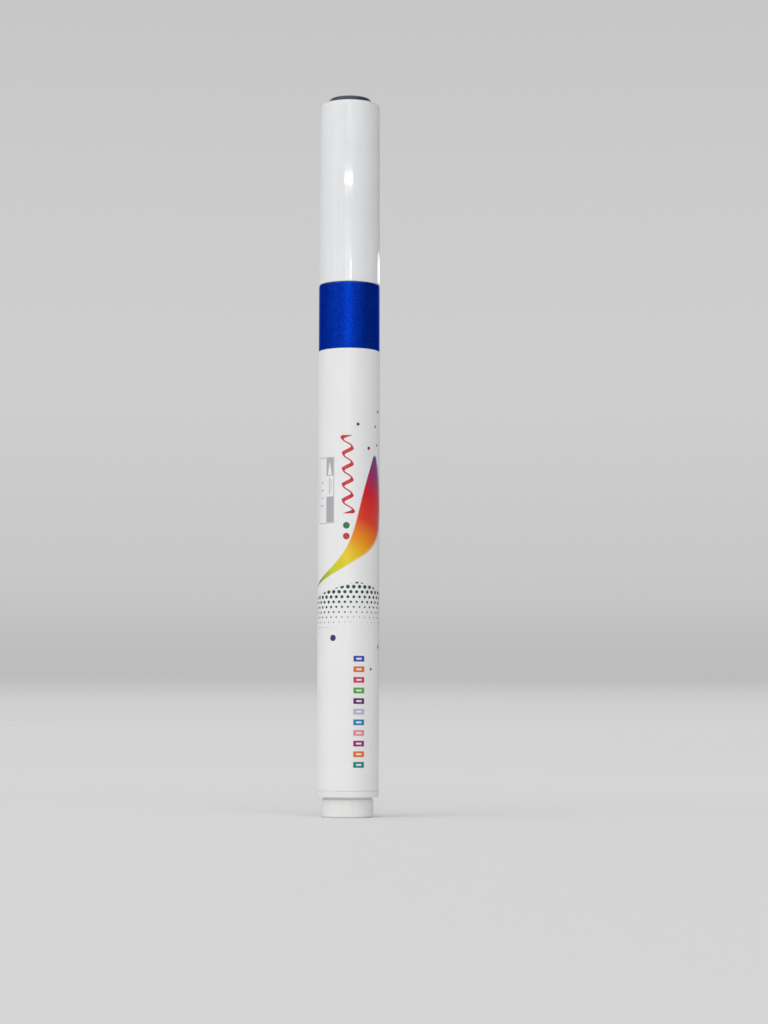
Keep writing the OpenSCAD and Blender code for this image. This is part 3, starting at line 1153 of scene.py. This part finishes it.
@dataclass(frozen=True)
class SpringSize:
    """Size of the valve's coil spring, in metres. A closed end turn rises by closed_pitch wire
    radii."""

    outer_r: float
    low_z: float
    high_z: float
    wire_r: float = 0.175 * MM
    turns: int = 8
    closed_pitch: float = 2.3

    @property
    def coil_r(self) -> float:
        """Radius of the wire's centre line."""
        return self.outer_r - self.wire_r

    def height(self, turn: float) -> float:
        """Height of the wire's centre after so many turns, with a closed turn at each end.

        Args:
            turn: Turns from the low end.

        Returns:
            The height in metres.
        """
        low, high = self.low_z + self.wire_r, self.high_z - self.wire_r
        closed = self.closed_pitch * self.wire_r
        if turn <= 1.0:
            return low + closed * turn
        if turn >= self.turns - 1:
            return high - closed * (self.turns - turn)
        return low + closed + (high - low - 2.0 * closed) * (turn - 1.0) / (self.turns - 2)


def box_mm(node: str) -> tuple[float, float, float]:
    """Outer radius, low end and high end of a turned node, in millimetres."""
    low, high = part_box(node)
    return high.x / MM, low.z / MM, high.z / MM


@dataclass(frozen=True)
class TubeSize:
    """Printed tube and metal ring: walls and edges, in millimetres."""

    barrel_wall: float = 1.0
    ring_wall: float = 0.7
    rebate_wall: float = 0.43
    rebate_depth: float = 0.8
    edge: float = 0.12

    def barrel(self) -> list[Point]:
        """Outline the printed tube.

        Returns:
            Its closed outline.
        """
        radius, low, high = box_mm("barrel")
        bore = radius - self.barrel_wall
        return [(bore, low), *self.outside(radius, low, high), (bore, high)]

    def ring(self) -> list[Point]:
        """Outline the metal ring, with the rebate under its upper rim.

        Returns:
            Its closed outline.
        """
        radius, low, high = box_mm("colour_ring")
        bore = radius - self.ring_wall
        seat = radius - self.rebate_wall
        step = high - self.rebate_depth
        wall = self.outside(radius, low, high)
        return [(bore, low), *wall, (seat, high), (seat, step), (bore, step)]

    def outside(self, radius: float, low: float, high: float) -> list[Point]:
        """Outside wall between two rounded rims.

        Args:
            radius: The wall's radius.
            low: Its low end.
            high: Its high end.

        Returns:
            The points, upwards.
        """
        foot = round_edge(radius - self.edge, low + self.edge, self.edge, -90.0, 0.0)
        head = round_edge(radius - self.edge, high - self.edge, self.edge, 0.0, 90.0)
        return [*foot, *long_wall(foot[-1], head[0]), *head]


@dataclass(frozen=True)
class StopperSize:
    """Stopper in the tube's tail: tail, flange, seal groove and gate mark, in millimetres."""

    tail_r: float = 5.03
    tail_h: float = 3.4
    tail_edge: float = 0.3
    hollow_r: float = 3.03
    hollow_edge: float = 0.15
    groove_r: float = 4.78
    groove_h: float = 0.5
    flange_t: float = 1.2
    flange_edge: float = 0.12
    spigot_r: float = 5.03
    top_t: float = 1.5
    top_edge: float = 0.2
    seal_r: float = 4.11
    seal_half: float = 0.5
    gate_r: float = 0.6
    gate_h: float = 0.25
    gate_edge: float = 0.1

    def outline(self) -> list[Point]:
        """Outline the stopper from the hollow's middle, round the outside, to the top's middle.

        Returns:
            Its closed outline.
        """
        flange_r, _, top = box_mm("rear_plug")
        seal_low, seal_high = box_mm("rear_seal_ring")[1:]
        seal = (seal_low + seal_high) / 2.0
        ceiling = top - self.top_t
        gate = ceiling - self.gate_h
        flange = self.tail_h + self.groove_h
        barrel = flange + self.flange_t
        foot = round_edge(self.tail_r - self.tail_edge, self.tail_edge, self.tail_edge, -90.0, 0.0)
        rim = flange_r - self.flange_edge
        return [
            (0.0, gate), (self.gate_r - self.gate_edge, gate), (self.gate_r, gate + self.gate_edge),
            (self.gate_r, ceiling), (self.hollow_r, ceiling), (self.hollow_r, self.hollow_edge),
            (self.hollow_r + self.hollow_edge, 0.0),
            *foot, *long_wall(foot[-1], (self.tail_r, self.tail_h)),
            (self.tail_r, self.tail_h), (self.groove_r, self.tail_h), (self.groove_r, flange),
            *round_edge(rim, flange + self.flange_edge, self.flange_edge, -90.0, 0.0),
            *round_edge(rim, barrel - self.flange_edge, self.flange_edge, 0.0, 90.0),
            (self.spigot_r, barrel), (self.spigot_r, seal - self.seal_half),
            (self.seal_r, seal - self.seal_half), (self.seal_r, seal + self.seal_half),
            (self.spigot_r, seal + self.seal_half),
            (self.spigot_r, top - self.top_edge), (self.spigot_r - self.top_edge, top), (0.0, top),
        ]


@dataclass(frozen=True)
class CapSize:
    """Cap and its end plug: walls, seats and edges, in millimetres."""

    wall: float = 0.92
    draft: float = 0.12
    mouth_edge: float = 0.12
    bore_edge: float = 0.2
    corner: float = 0.4
    top_t: float = 1.8
    seat_r: float = 4.22
    seat_depth: float = 0.7
    stem_hole_r: float = 3.62
    stem_r: float = 3.6
    stem_edge: float = 0.2
    head_edge: float = 0.5
    crown: float = 0.3
    corner_steps: int = 10

    def shell(self) -> list[Point]:
        """Outline the cap's shell.

        Returns:
            Its closed outline.
        """
        radius, low, high = box_mm("cap_shell")
        bore = radius - self.wall
        top_r = radius - self.draft
        mouth = round_edge(radius - self.mouth_edge, low + self.mouth_edge, self.mouth_edge, -90.0, 0.0)
        middle = (top_r - self.corner, high - self.corner)
        corner = round_edge(*middle, self.corner, 0.0, 90.0, self.corner_steps)
        seat, ceiling = high - self.seat_depth, high - self.top_t
        return [
            (bore + self.bore_edge, low), *mouth, *long_wall(mouth[-1], corner[0]), *corner,
            (self.seat_r, high), (self.seat_r, seat), (self.stem_hole_r, seat),
            (self.stem_hole_r, ceiling), (bore, ceiling), (bore, low + self.bore_edge),
        ]

    def plug(self) -> list[Point]:
        """Outline the coloured plug in the cap's top.

        Returns:
            Its closed outline.
        """
        head_r, low, high = box_mm("cap_end_plug")
        seat = box_mm("cap_shell")[2] - self.seat_depth
        middle = head_r - self.head_edge
        return [
            (0.0, low), (self.stem_r - self.stem_edge, low), (self.stem_r, low + self.stem_edge),
            (self.stem_r, seat), (head_r, seat),
            *round_edge(middle, high - self.head_edge, self.head_edge, 0.0, 90.0, self.corner_steps),
            (middle - self.crown, high), (0.0, high),
        ]


class PenBody(SubAssembly):
    """Barrel, colour ring, front section, nose, valve housing and rear plug."""

    body = Body.PEN
    SPRING_STEPS = 20
    SPRING_SLACK = 0.02 * MM

    def build(self) -> None:
        """Turn the outer pieces, dress the others and wind the spring."""
        size = TubeSize()
        tube = PrintedTube("printed_white_tube", WHITE_TUBE, 0.30, WORN_WHITE, *box_mm("barrel"))
        barrel = turn_outline("printed_tube", size.barrel())
        self.add_piece(barrel, tube, "barrel_white", "barrel")
        lacquer = MetallicLacquer(
            "blue_metallic_lacquer", (0.0012, 0.020, 0.35), 0.24, glint=(0.004, 0.075, 0.52),
            worn=(0.06, 0.11, 0.26), rims_mm=box_mm("colour_ring")[1:],
        )
        self.add_piece(turn_outline("metal_ring", size.ring()), lacquer, "ring_blue", "colour_ring")
        foot = box_mm("rear_plug")[1]
        plug = MouldedPlastic(
            "semi_gloss_white", MOULDED_WHITE, 0.28, WORN_WHITE, rims_mm=(foot,), coat=0.1
        )
        stopper = turn_outline("tail_stopper", StopperSize().outline())
        self.add_piece(stopper, plug, "plug_white", "rear_plug")
        housing = MouldedPlastic("moulded_white", MOULDED_WHITE, 0.33, WORN_WHITE, coat=0.05)
        rubber = Rubber("seal_rubber", (0.018, 0.018, 0.018), 0.62)
        fibre = SoakedFibre(
            "absorber_fibre", (0.66, 0.66, 0.60), 0.85, (0.10, 0.16, 0.36), strand_mm=0.16, wet=0.05
        )
        finishes = {
            "front_section": housing, "nose_cone": housing, "valve_case": NATURAL_PLASTIC,
            "valve_seat": rubber, "rear_seal_ring": rubber, "section_seal_ring": rubber,
            "absorber_collar": fibre,
        }
        for node, finish in finishes.items():
            self.coat_node(node, finish)
        self.add_spring(Steel("spring_wire", (0.62, 0.62, 0.63), 0.26))

    def add_spring(self, finish: Finish) -> None:
        """Wind the valve's spring, and work out how much of it stays when the brush is pressed, which
        nothing then uses.

        Args:
            finish: The wire's finish.
        """
        low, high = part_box("valve_spring")
        size = SpringSize(high.x, low.z - self.SPRING_SLACK, high.z + self.SPRING_SLACK)
        spring = self.model_spring(size)
        self.add_piece(spring, finish, "spring_steel", "valve_spring")
        joints = frame["record"]["behaviour"]["joints"]
        press = next(joint for joint in joints if joint["name"] == "brush_press")
        foot = press["deforming_nodes"][0]["fixed_end_z_m"]
        stroke = press["range_m"][1]
        keep = 1.0 - stroke / (high.z - foot)
        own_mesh(spring)

    def model_spring(self, size: SpringSize) -> bpy.types.Object:
        """Model the spring: a round section of wire, extruded step by step round the axis.

        Args:
            size: The spring's size.

        Returns:
            The spring.
        """
        deselect_all()
        bpy.ops.mesh.primitive_circle_add(
            vertices=8, radius=size.wire_r, fill_type="NGON",
            location=(size.coil_r, 0, size.height(0.0)), rotation=(math.pi / 2, 0, 0),
        )
        spring = bpy.context.object
        spring.name = "wound_spring"
        bpy.ops.object.transform_apply(location=True, rotation=True, scale=True)
        start_editing(spring)
        bpy.ops.mesh.select_all(action="SELECT")
        steps = self.SPRING_STEPS
        for step in range(1, size.turns * steps + 1):
            rise = size.height(step / steps) - size.height((step - 1) / steps)
            bpy.ops.mesh.extrude_region_move(TRANSFORM_OT_translate={"value": (0, 0, rise)})
            bpy.ops.transform.rotate(
                value=math.tau / steps, orient_axis="Z", center_override=(0, 0, 0)
            )
        bpy.ops.mesh.select_all(action="SELECT")
        bpy.ops.mesh.normals_make_consistent(inside=False)
        return finish_piece(spring, smooth_angle=60.0)


class CapUnit(SubAssembly):
    """The pull-off cap: shell, liner and coloured end plug."""

    body = Body.CAP
    RIM_BELOW_TOP = 0.3

    def build(self) -> None:
        """Turn the shell and its plug, and dress the liner."""
        size = CapSize()
        _, mouth, top = box_mm("cap_shell")
        gloss = MouldedPlastic(
            "gloss_white", WHITE_CAP, 0.03, WORN_WHITE, grain_mm=3.0, grain_depth_mm=0.002, coat=0.5,
            rims_mm=(mouth, top - self.RIM_BELOW_TOP),
        )
        self.add_piece(turn_outline("cap_tube", size.shell()), gloss, "cap_white", "cap_shell")
        self.coat_node("cap_liner", NATURAL_PLASTIC)
        navy = MouldedPlastic(
            "dark_navy_gloss", (0.020, 0.026, 0.055), 0.25, (0.08, 0.09, 0.13), coat=0.2
        )
        plug = turn_outline("cap_top_plug", size.plug())
        self.add_piece(plug, navy, "end_plug_navy", "cap_end_plug")


@dataclass(frozen=True)
class BundleSize:
    """Size of the bristle bundle, in metres."""

    root_r: float
    low_z: float
    mouth_z: float
    tip_z: float
    strand_r: float = 0.105 * MM

    def radius(self, share: float) -> float:
        """Outside radius at a share of the bare length.

        Args:
            share: 0 at the ferrule's mouth and 1 at the tip.

        Returns:
            The radius in metres.
        """
        return self.root_r * max(1.0 - share**1.9, 0.0) ** 0.9


class BrushUnit(SubAssembly):
    """The brush that slides in the nose: bristles, ferrule, feed and valve rod."""

    body = Body.BRUSH
    STRANDS_ROUND = 54
    RINGS = 9
    FINEST = 0.04 * MM
    ROOT_UNDER = 0.6 * MM
    ROOT_DEPTH = 0.3 * MM

    def build(self) -> None:
        """Dress the unit's nodes and model its bristles."""
        finishes = {
            "brush_ferrule": MouldedPlastic(
                "dark_satin", (0.03, 0.031, 0.034), 0.36, (0.12, 0.12, 0.12)
            ),
            "feed_tube": NATURAL_PLASTIC,
            "valve_rod": MouldedPlastic("rod_plastic", (0.36, 0.46, 0.58), 0.4, (0.5, 0.55, 0.6)),
            "feed_wick": SoakedFibre(
                "wick_fibre", (0.10, 0.15, 0.42), 0.6, (0.015, 0.03, 0.16), wet=0.4
            ),
        }
        for node, finish in finishes.items():
            self.coat_node(node, finish)
        low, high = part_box("brush_bristles")
        _, ferrule_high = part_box("brush_ferrule")
        bundle = self.model_bundle(BundleSize((high.x - low.x) / 2, low.z, ferrule_high.z, high.z))
        bristles = SoakedFibre(
            "wet_bristles", (0.012, 0.04, 0.25), 0.34, (0.003, 0.010, 0.09), strand_mm=0.06, wet=0.5
        )
        self.add_piece(bundle, bristles, "bristle_blue", "brush_bristles")

    def model_core(self, size: BundleSize) -> bpy.types.Object:
        """Model the bundle's dense middle: a disc, extruded ring by ring to a point.

        Args:
            size: The bundle's size.

        Returns:
            The core.
        """
        deselect_all()
        root = size.root_r - size.strand_r
        bpy.ops.mesh.primitive_cylinder_add(
            vertices=48, radius=root, depth=size.mouth_z - size.low_z,
            location=(0, 0, (size.mouth_z + size.low_z) / 2),
        )
        core = bpy.context.object
        core.name = "bristle_bundle"
        start_editing(core)
        select_top(core)
        rise = (size.tip_z - size.mouth_z) / (self.RINGS + 1)
        before = 1.0
        for ring in range(1, self.RINGS + 1):
            share = ring / (self.RINGS + 1)
            wanted = max(size.radius(share) - size.strand_r * (1.0 + share), self.FINEST) / root
            bpy.ops.mesh.extrude_region_move(TRANSFORM_OT_translate={"value": (0, 0, rise)})
            bpy.ops.transform.resize(value=(wanted / before, wanted / before, 1.0))
            before = wanted
        bpy.ops.object.mode_set(mode="OBJECT")
        return core

    def model_strand(self, size: BundleSize) -> bpy.types.Object:
        """Model one bristle that follows the bundle's outside at its +X side.

        Args:
            size: The bundle's size.

        Returns:
            The strand.
        """
        deselect_all()
        base_z = size.mouth_z - self.ROOT_UNDER
        base_x = size.radius(0.0) - size.strand_r
        bpy.ops.mesh.primitive_cylinder_add(
            vertices=6, radius=size.strand_r, depth=self.ROOT_DEPTH,
            location=(base_x, 0, base_z - self.ROOT_DEPTH / 2),
        )
        strand = bpy.context.object
        strand.name = "bristle"
        start_editing(strand)
        select_top(strand)
        at_x, at_z, thick = base_x, base_z, 1.0
        length = size.tip_z - size.mouth_z
        for index in range(self.RINGS + 2):
            share = index / (self.RINGS + 1)
            sunk = size.strand_r * (1.0 - 0.5 * share)
            next_x = max(size.radius(share * 0.995) - sunk, self.FINEST / 2)
            next_z = size.mouth_z + length * share * 0.985
            step = (next_x - at_x, 0, next_z - at_z)
            bpy.ops.mesh.extrude_region_move(TRANSFORM_OT_translate={"value": step})
            slim = 1.0 - 0.75 * share**3
            pivot = (next_x, 0, next_z)
            bpy.ops.transform.resize(value=(slim / thick,) * 3, center_override=pivot)
            at_x, at_z, thick = next_x, next_z, slim
        bpy.ops.object.mode_set(mode="OBJECT")
        return strand

    def model_bundle(self, size: BundleSize) -> bpy.types.Object:
        """Model the whole bundle: a core, and one layer of bristles laid round it.

        Args:
            size: The bundle's size.

        Returns:
            The bundle as one piece.
        """
        core = self.model_core(size)
        strand = self.model_strand(size)
        chance = random.Random(7)
        copies = []
        for index in range(self.STRANDS_ROUND):
            copy = strand.copy()
            copy.data = strand.data.copy()
            bpy.context.scene.collection.objects.link(copy)
            turn = math.tau * (index + chance.uniform(-0.25, 0.25)) / self.STRANDS_ROUND
            short = 1.0 - chance.uniform(0.0, 0.07)
            sink = chance.uniform(0.93, 1.0)
            shrink = Matrix.Diagonal((sink, sink, short, 1.0))
            low = Matrix.Translation((0, 0, size.mouth_z))
            local = Matrix.Rotation(turn, 4, "Z") @ low @ shrink @ low.inverted()
            copy.data.transform(local @ strand.matrix_world)
            copy.matrix_world = Matrix.Identity(4)
            copies.append(copy)
        bpy.data.objects.remove(strand)
        deselect_all()
        for piece in (core, *copies):
            piece.select_set(True)
        bpy.context.view_layer.objects.active = core
        bpy.ops.object.join()
        return finish_piece(core, smooth_angle=60.0)


class MixingBall(SubAssembly):
    """One steel ball in the barrel."""

    def __init__(self, effects: Effects, body: Body, node: str) -> None:
        """Keep which ball this is.

        Args:
            effects: The shared node groups.
            body: The ball's body.
            node: The ball's CAD node.
        """
        super().__init__(effects)
        self.body = body
        self.node = node

    def build(self) -> None:
        """Dress the ball."""
        polished = Steel(
            "polished_ball", (0.68, 0.68, 0.69), 0.09, lines_mm=0.4, line_depth_mm=0.0006
        )
        self.coat_node(self.node, polished)


# Studio
# ------


@dataclass(frozen=True)
class Glint:
    """A small lamp that a tube mirrors at a chosen spot, as seen from the camera."""

    name: str
    height: float
    radius: float
    turn_deg: float
    width: float
    tall: float
    radiance: float
    reach: float = 0.5

    def build(self, eye: Vector) -> None:
        """Place the lamp where the spot's reflection looks.

        Args:
            eye: The camera's place.
        """
        turn = math.radians(self.turn_deg)
        normal = Vector((math.sin(turn), -math.cos(turn), 0.0))
        spot = normal * self.radius + Vector((0.0, 0.0, self.height))
        view = (spot - eye).normalized()
        bounce = view - 2.0 * view.dot(normal) * normal
        data = bpy.data.lights.new(self.name, "AREA")
        data.shape = "RECTANGLE"
        data.size = self.width
        data.size_y = self.tall
        data.energy = self.radiance * math.pi * self.width * self.tall
        lamp = bpy.data.objects.new(self.name, data)
        bpy.context.scene.collection.objects.link(lamp)
        lamp.location = spot + bounce * self.reach
        lamp.rotation_euler = (-bounce).to_track_quat("-Z", "Y").to_euler()
        lamp.visible_camera = False


@dataclass(frozen=True)
class Panel:
    """A lit panel of the room: its limits round and above the pen, and its brightness."""

    left_deg: float
    right_deg: float
    low_deg: float
    high_deg: float
    level: float
    edge_deg: float = 2.5


@dataclass(frozen=True)
class Studio:
    """Floor, room light and camera."""

    focal_mm: float = 84.4
    sensor_mm: float = 36.0
    distance: float = 0.470
    camera_height: float = 0.018
    camera_side: float = 0.00695
    pitch_deg: float = 5.05
    roll_deg: float = 0.13
    floor_size: float = 24.0
    # Backdrop tone by height above the horizon, in degrees: the dip from about 1.1 to 2 degrees is a
    # painted band of soft shade.
    wall: tuple[tuple[float, float], ...] = (
        (0.0, 0.65), (0.55, 0.62), (1.1, 0.505), (2.0, 0.52), (3.2, 0.57), (8.0, 0.62),
        (12.5, 0.60), (18.0, 0.56),
    )
    wall_top_deg: float = 18.0
    coolness: float = 1.005
    panels: tuple[Panel, ...] = (
        Panel(-85.0, -16.0, 16.5, 58.0, 1.02),
        Panel(-16.0, 42.0, 16.5, 58.0, 0.82),
        Panel(-17.0, 6.0, 4.0, 12.0, 1.6),
        Panel(55.0, 178.0, -8.0, 50.0, -0.25),
        Panel(-179.0, 179.0, 62.0, 90.0, 0.5),
        Panel(-19.0, 13.0, 13.26, 13.44, 17.0, 0.05),
        Panel(-9.0, 7.0, 14.2, 58.0, 0.8, 0.8),
        Panel(17.0, 22.0, 10.0, 58.0, 0.7, 0.8),
        Panel(-34.0, -28.0, 10.0, 58.0, 0.6, 1.0),
        Panel(-60.0, -50.0, 10.0, 58.0, 0.6, 1.5),
    )
    glints: tuple[Glint, ...] = (
        Glint("front_patch", 0.1082, 0.00598, 3.5, 0.045, 0.010, 6.0),
        Glint("back_patch", 0.1077, 0.00598, 76.0, 0.34, 0.015, 1.6),
    )

    def build(self, effects: Effects) -> None:
        """Build the studio.

        Args:
            effects: The shared node groups.
        """
        self.lay_floor(effects)
        self.light_room()
        eye = Vector((self.camera_side, -self.distance, self.camera_height))
        for glint in self.glints:
            glint.build(eye)
        self.place_camera()
        bpy.context.scene.view_settings.view_transform = "Standard"

    def lay_floor(self, effects: Effects) -> None:
        """Lay the pale floor.

        Args:
            effects: The shared node groups.
        """
        deselect_all()
        bpy.ops.mesh.primitive_plane_add(size=self.floor_size)
        floor = bpy.context.object
        floor.name = "paper_floor"
        floor.data.materials.append(PaperSweep("pale_paper", (0.76, 0.76, 0.76), 0.8).build(effects))
        deselect_all()

    def light_room(self) -> None:
        """Surround the scene with pale walls, with a painted band of soft shade just above the horizon,
        and with lit panels that only pieces see.
        """
        world = bpy.data.worlds.new("pale_room")
        world.use_nodes = True
        bpy.context.scene.world = world
        g = Graph(world.node_tree)
        xyz = g.add("ShaderNodeSeparateXYZ", {0: g.add("ShaderNodeTexCoord")["Generated"]})
        rise = g.math("DEGREES", g.math("ARCSINE", xyz["Z"]))
        round_deg = g.math("DEGREES", g.math("ARCTAN2", xyz["X"], xyz["Y"] * -1.0))
        top = self.wall_top_deg
        stops = [(degrees / top, (tone, tone, tone * self.coolness)) for degrees, tone in self.wall]
        # The backdrop's tones, with the painted band of shade, as the camera sees them.
        tone = g.ramp(rise / top, stops)
        light = None
        for panel in self.panels:
            aside = self.between(g, round_deg, panel.left_deg, panel.right_deg, panel.edge_deg)
            above = self.between(g, rise, panel.low_deg, panel.high_deg, panel.edge_deg)
            lit = aside * above * panel.level
            light = lit if light is None else light + lit
        unseen = 1.0 - g.add("ShaderNodeLightPath")["Is Camera Ray"]
        both = g.add("ShaderNodeVectorMath", {0: tone, 1: light * unseen}, operation="ADD")
        g.fill(world.node_tree.nodes["Background"], {"Color": both["Vector"]})

    @staticmethod
    def between(g: Graph, value: Signal, low: float, high: float, edge: float) -> Signal:
        """Be 1 between two limits and 0 outside them, with soft edges.

        Args:
            g: The graph.
            value: What is compared.
            low: Lower limit.
            high: Upper limit.
            edge: Width of each soft edge.

        Returns:
            The mask.
        """
        half = edge / 2
        past_high = g.smooth(value, high - half, high + half)
        return g.smooth(value, low - half, low + half) * (1.0 - past_high)

    def place_camera(self) -> None:
        """Put the camera low in front of the pen, tilted up along it."""
        data = bpy.data.cameras.new("camera")
        data.lens = self.focal_mm
        data.sensor_width = self.sensor_mm
        data.clip_start = 0.01
        camera = bpy.data.objects.new("camera", data)
        bpy.context.scene.collection.objects.link(camera)
        tilt = Matrix.Rotation(math.radians(90.0 + self.pitch_deg), 4, "X")
        roll = Matrix.Rotation(math.radians(self.roll_deg), 4, "Z")
        stand = Matrix.Translation((self.camera_side, -self.distance, self.camera_height))
        camera.matrix_world = stand @ tilt @ roll
        bpy.context.scene.camera = camera


def main() -> None:
    """Build the studio and every sub-assembly, and report each piece."""
    logging.basicConfig(level=logging.INFO, format="%(name)s: %(message)s")
    effects = Effects()
    Studio().build(effects)
    assemblies = [
        PenBody(effects),
        CapUnit(effects),
        BrushUnit(effects),
        MixingBall(effects, Body.BALL_1, "mixing_ball_1"),
        MixingBall(effects, Body.BALL_2, "mixing_ball_2"),
    ]
    for assembly in assemblies:
        assembly.build()
        LOG.info("%s is done", type(assembly).__name__)


if __name__ == "__main__":
    main()
